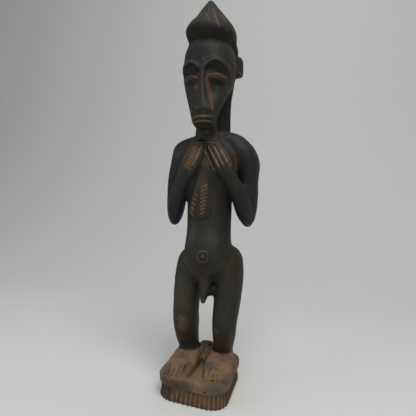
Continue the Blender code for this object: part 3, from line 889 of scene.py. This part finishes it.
# %% [markdown]
# The material is built with two small helpers. The first, Value, wraps a socket and turns plain
# arithmetic into Math nodes, so that a formula for a mask can be read as one.


# %% Make the numbers that can be reckoned with
class Value:
    """A number that varies over the surface: a node's output socket that can be reckoned with."""

    def __init__(self, finish, socket):
        self.finish = finish
        self.socket = socket

    def join(self, operation, first, second):
        sockets = self.finish.node("ShaderNodeMath", {"operation": operation}, {0: first, 1: second})
        return Value(self.finish, sockets["Value"])

    def __add__(self, other):
        return self.join("ADD", self, other)

    __radd__ = __add__

    def __mul__(self, other):
        return self.join("MULTIPLY", self, other)

    __rmul__ = __mul__

    def __sub__(self, other):
        return self.join("SUBTRACT", self, other)

    def __rsub__(self, other):
        return self.join("SUBTRACT", other, self)

    def higher(self, other):
        return self.join("MAXIMUM", self, other)

    def step(self, low, high):
        """A soft step from 0 at low to 1 at high."""
        sockets = self.finish.node(
            "ShaderNodeMapRange",
            {"interpolation_type": "SMOOTHSTEP"},
            {"Value": self, "From Min": low, "From Max": high},
        )
        return Value(self.finish, sockets["Result"])


print("operators: + - *")

# %% [markdown]
# The second, Finish, holds the material. Colours are mixed with Mix nodes, and every other node
# comes from one method, which takes its settings first and then the values or links of its sockets.


# %% Make the finish helper
class Finish:
    """A Principled material and the means to add nodes to it."""

    def __init__(self, name):
        self.material = bpy.data.materials.new(name)
        self.material.use_nodes = True
        self.tree = self.material.node_tree
        self.shader = self.tree.nodes["Principled BSDF"]

    def node(self, kind, settings, inputs):
        made = self.tree.nodes.new(kind)
        for name, setting in settings.items():
            setattr(made, name, setting)
        for name, given in inputs.items():
            self.feed(made.inputs[name], given)
        return made.outputs

    def feed(self, socket, given):
        if isinstance(given, Value):
            given = given.socket
        if isinstance(given, bpy.types.NodeSocket):
            self.tree.links.new(given, socket)
        else:
            socket.default_value = given

    def noted(self, name):
        """One of the numbers noted on the mesh."""
        sockets = self.node("ShaderNodeAttribute", {"attribute_name": name}, {})
        return Value(self, sockets["Fac"])

    def place(self, stretch=(1, 1, 1)):
        """The point's own place in metres, stretched along an axis to draw a pattern out."""
        spot = self.node("ShaderNodeTexCoord", {}, {})["Object"]
        return self.node("ShaderNodeMapping", {}, {"Vector": spot, "Scale": stretch})["Vector"]

    def noise(self, per_metre, detail=3.0, rough=0.5, stretch=(1, 1, 1)):
        inputs = {"Vector": self.place(stretch), "Scale": per_metre, "Detail": detail, "Roughness": rough}
        return Value(self, self.node("ShaderNodeTexNoise", {}, inputs)["Fac"])

    def mix(self, amount, below, above):
        """A colour: the one below where the amount is 0, the one above where it is 1."""
        made = self.tree.nodes.new("ShaderNodeMix")
        made.data_type = "RGBA"
        self.feed(made.inputs[0], amount)
        self.feed(made.inputs[6], below)
        self.feed(made.inputs[7], above)
        return made.outputs[2]


print("helper ready")

# %% [markdown]
# The figure was blackened, oiled and handled for years. The skin is nearly black, bluish in patches
# and green-brown elsewhere, with a satin shine; where the bluish patches lie on the upper arms, the
# forehead, the nose and the collar, they are partly a painted bluish sheen. Cuts show orange wood.
# The feet and the plinth have lost the black, and the dry wood there is dull, pinkish brown and grey
# in patches.
# The colours are named once, and the material reads the seven lists and four noises: a mottle, a
# fine speckle, an upright grain and a broad smear.

# %% Name the colours and draw the patterns
BLUE_BLACK = (0.013, 0.018, 0.025, 1)
GREEN_BROWN = (0.026, 0.026, 0.019, 1)
BROWN_BLACK = (0.020, 0.014, 0.008, 1)
RUBBED_AND_LIT_BLACK = (0.062, 0.055, 0.041, 1)
RUST_AND_SHADOW = (0.066, 0.030, 0.009, 1)
LIGHT_WOOD = (0.21, 0.123, 0.060, 1)
DRY_WOOD = (0.235, 0.138, 0.074, 1)
GREY_WOOD = (0.105, 0.076, 0.052, 1)
DIRT_AND_SHADE = (0.008, 0.006, 0.004, 1)
SOOT_AND_SHADE = (0.006, 0.006, 0.006, 1)

wood = Finish("dark_patinated_wood")
bare_wood = wood.noted("bare")
rust_and_shadow_wood = wood.noted("rust_and_shadow")
worn_wood = wood.noted("worn")
dirt_and_shade = wood.noted("grime_and_shade")
rubbed_and_lit = wood.noted("rubbed_and_lit")
black_and_shade = wood.noted("soot_and_shade")
mottle = wood.noise(60, 4, 0.6)
speckle = wood.noise(420, 3, 0.6)
grain = wood.noise(260, 4, 0.6, stretch=(1, 1, 0.15))
smear = wood.noise(22, 3, 0.5, stretch=(1, 1, 0.5))
print("nodes so far:", len(wood.tree.nodes))

# %% [markdown]
# The layers are laid as a restorer would describe them, from the ground up: the black skin and its
# changes, which carry painted sheen, highlights and shade, then the dry wood where the skin is lost,
# then the light wood of the cuts, then dirt with painted shade in the hollows.

# %% Blend the colours
# The bluish patches include a painted bluish sheen.
blue = smear * 0.5 + mottle * 0.5 + wood.noted("bluish_tone_and_sheen") * 0.45
patina_and_painted_light = wood.mix(blue.step(0.42, 0.72), GREEN_BROWN, BLUE_BLACK)
patina_and_painted_light = wood.mix((mottle * 0.6 + speckle * 0.4).step(0.58, 0.42) * 0.7, patina_and_painted_light, BROWN_BLACK)
# Rubbed edges and painted light: a paler black on the ridges and on the lit patches.
patina_and_painted_light = wood.mix((rubbed_and_lit * (0.3 + speckle * 0.6)).step(0.05, 0.8) * 0.7, patina_and_painted_light, RUBBED_AND_LIT_BLACK)
# Rust, with the painted shadow line under the slab.
patina_and_painted_light = wood.mix((rust_and_shadow_wood * (0.4 + mottle)).step(0.05, 0.95), patina_and_painted_light, RUST_AND_SHADOW)
# Soot: real black in the hair, and painted shade under the cap, the nose, the hands and by the arms.
patina_and_painted_light = wood.mix(black_and_shade * (0.6 + mottle * 0.5), patina_and_painted_light, SOOT_AND_SHADE)
dry = wood.mix(mottle.step(0.36, 0.62), GREY_WOOD, DRY_WOOD)
dry = wood.mix((grain + speckle * 0.3).step(0.5, 0.85) * 0.4, dry, GREY_WOOD)
dry = wood.mix(black_and_shade * 0.8, dry, GREEN_BROWN)
colour = wood.mix((worn_wood + speckle * 0.2 - 0.1).step(0.3, 0.7), patina_and_painted_light, dry)
colour = wood.mix((bare_wood * (0.7 + speckle * 0.6)).step(0.1, 0.9), colour, LIGHT_WOOD)
# Dirt and painted shade darken the hollows.
colour = wood.mix((dirt_and_shade * (1 - bare_wood * 0.8)).step(0.25, 1.0) * 0.7, colour, DIRT_AND_SHADE)
wood.feed(wood.shader.inputs["Base Color"], colour)
print("nodes with the colours:", len(wood.tree.nodes))

# %% [markdown]
# Dry and bare wood is duller than the oiled skin, so the roughness rises there. Bump gives what is
# too fine for the mesh: grain, scratches and pores.

# %% Set the shine and the bump
BUMP_STRENGTH = 0.55
BUMP_DISTANCE = 0.6 * MM

dryness = worn_wood.higher(bare_wood).higher(rust_and_shadow_wood * 0.5)
roughness = 0.5 + mottle * 0.16 + dryness * 0.22 + black_and_shade * 0.12
wood.feed(wood.shader.inputs["Roughness"], roughness)
wood.feed(wood.shader.inputs["Specular IOR Level"], 0.24)
relief = grain * (0.3 + dryness * 0.7) + speckle * 0.25 + mottle * 0.8
bump_inputs = {"Height": relief, "Strength": BUMP_STRENGTH, "Distance": BUMP_DISTANCE}
bump = wood.node("ShaderNodeBump", {}, bump_inputs)
wood.feed(wood.shader.inputs["Normal"], bump["Normal"])
body.data.materials.clear()
body.data.materials.append(wood.material)
print("nodes in the finish:", len(wood.tree.nodes))

# %% Hand the figure to the frame
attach(body, "root")
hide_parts("figure")
print("piece:", body.name)

# %% [markdown]
# The photographer stood a little to the figure's left, about level with the belly and close, which
# is why the plinth is seen from above and the cap from below. A camera has the same view when it
# has the same place, turn and lens. The picture was also tipped by about a degree, which the last
# turn about the line of sight repeats.

# %% Place the camera
IMAGE_SIZE = 416
SENSOR = 36
FOCAL_PIXELS = 380
CAMERA_TURN = math.radians(14)
CAMERA_TILT = math.radians(1.2)
CAMERA_DISTANCE = 416 * MM  # the distance, which only happens to equal the image size
CAMERA_HEIGHT = 194.3 * MM

bpy.ops.object.camera_add()
camera = bpy.context.object
camera.name = "camera"
camera.data.sensor_width = SENSOR
camera.data.lens = FOCAL_PIXELS * SENSOR / IMAGE_SIZE
camera.data.clip_start = 0.01
spot = Vector((math.sin(CAMERA_TURN), -math.cos(CAMERA_TURN), 0)) * CAMERA_DISTANCE
spot.z = CAMERA_HEIGHT
camera.matrix_world = (
    Matrix.Translation(spot)
    @ Matrix.Rotation(CAMERA_TURN, 4, "Z")
    @ Matrix.Rotation(math.radians(90), 4, "X")
    @ Matrix.Rotation(CAMERA_TILT, 4, "Z")
)
bpy.context.scene.camera = camera
print("lens, mm:", round(camera.data.lens, 2))

# %% [markdown]
# The figure stands on a plain pale sheet that sweeps up behind it, as in a photographer's studio,
# so that no horizon cuts across the picture. It is a plane whose far edge is extruded upwards, with
# the corner between the two beveled into a wide curve. Its material is a matt, pale grey.

# %% Lay the backdrop
SHEET_SIZE = 5.0
SHEET_HEIGHT = 2.6
SHEET_BACK = 1.3
SWEEP = 0.9
SHEET_COLOUR = (0.77, 0.78, 0.78, 1)

bpy.ops.object.select_all(action="DESELECT")
bpy.ops.mesh.primitive_plane_add(size=SHEET_SIZE, location=(0, SHEET_BACK - SHEET_SIZE / 2, 0))
backdrop = bpy.context.object
backdrop.name = "backdrop"
bpy.ops.object.transform_apply(location=True, rotation=False, scale=False)
for edge in backdrop.data.edges:
    edge.select = all(backdrop.data.vertices[i].co.y > SHEET_BACK - MM for i in edge.vertices)
for vertex in backdrop.data.vertices:
    vertex.select = vertex.co.y > SHEET_BACK - MM
bpy.ops.object.mode_set(mode="EDIT")
bpy.ops.mesh.extrude_region_move(TRANSFORM_OT_translate={"value": (0, 0, SHEET_HEIGHT)})
bpy.ops.object.mode_set(mode="OBJECT")
curve_up = backdrop.modifiers.new("Sweep", "BEVEL")
curve_up.width = SWEEP
curve_up.segments = 24
curve_up.limit_method = "ANGLE"
apply_all(backdrop)
bpy.ops.object.shade_smooth()
sheet = Finish("pale_sheet")
sheet.feed(sheet.shader.inputs["Base Color"], SHEET_COLOUR)
sheet.feed(sheet.shader.inputs["Roughness"], 0.9)
sheet.feed(sheet.shader.inputs["Specular IOR Level"], 0.1)
backdrop.data.materials.append(sheet.material)
print("backdrop:", len(backdrop.data.polygons), "faces")

# %% [markdown]
# The photograph has soft daylight from above and to the right. A large area light gives it. A
# weaker one on the left stands for light thrown back by pale walls, and a third, aimed past the
# figure, lights the sheet behind. The world's even colour fills what is left.

# %% Light the studio
ROOM_COLOUR = (0.93, 0.96, 1.0, 1)
ROOM_STRENGTH = 0.35

world = bpy.data.worlds.new("room_light")
world.use_nodes = True
background = world.node_tree.nodes["Background"]
background.inputs["Color"].default_value = ROOM_COLOUR
background.inputs["Strength"].default_value = ROOM_STRENGTH
bpy.context.scene.world = world


def soft_light(name, spot, size, power, colour, aim=(0, 0, 0.22)):
    """A square area light at a spot, turned towards its aim."""
    bpy.ops.object.light_add(type="AREA", location=spot)
    light = bpy.context.object
    light.name = name
    light.data.size = size
    light.data.energy = power
    light.data.color = colour
    towards = Vector(aim) - light.location
    light.rotation_euler = towards.to_track_quat("-Z", "Y").to_euler()


soft_light("window", (0.40, -0.80, 1.40), 1.0, 17.5, (1.0, 0.99, 0.96))
soft_light("bounce", (-1.1, -0.8, 0.8), 0.9, 3.2, (0.95, 0.98, 1.0))
soft_light("sheet_light", (0.1, 0.45, 1.5), 1.0, 1.4, (1.0, 1.0, 1.0), aim=(0, 1.3, 0.7))
bpy.context.scene.view_settings.view_transform = "Standard"
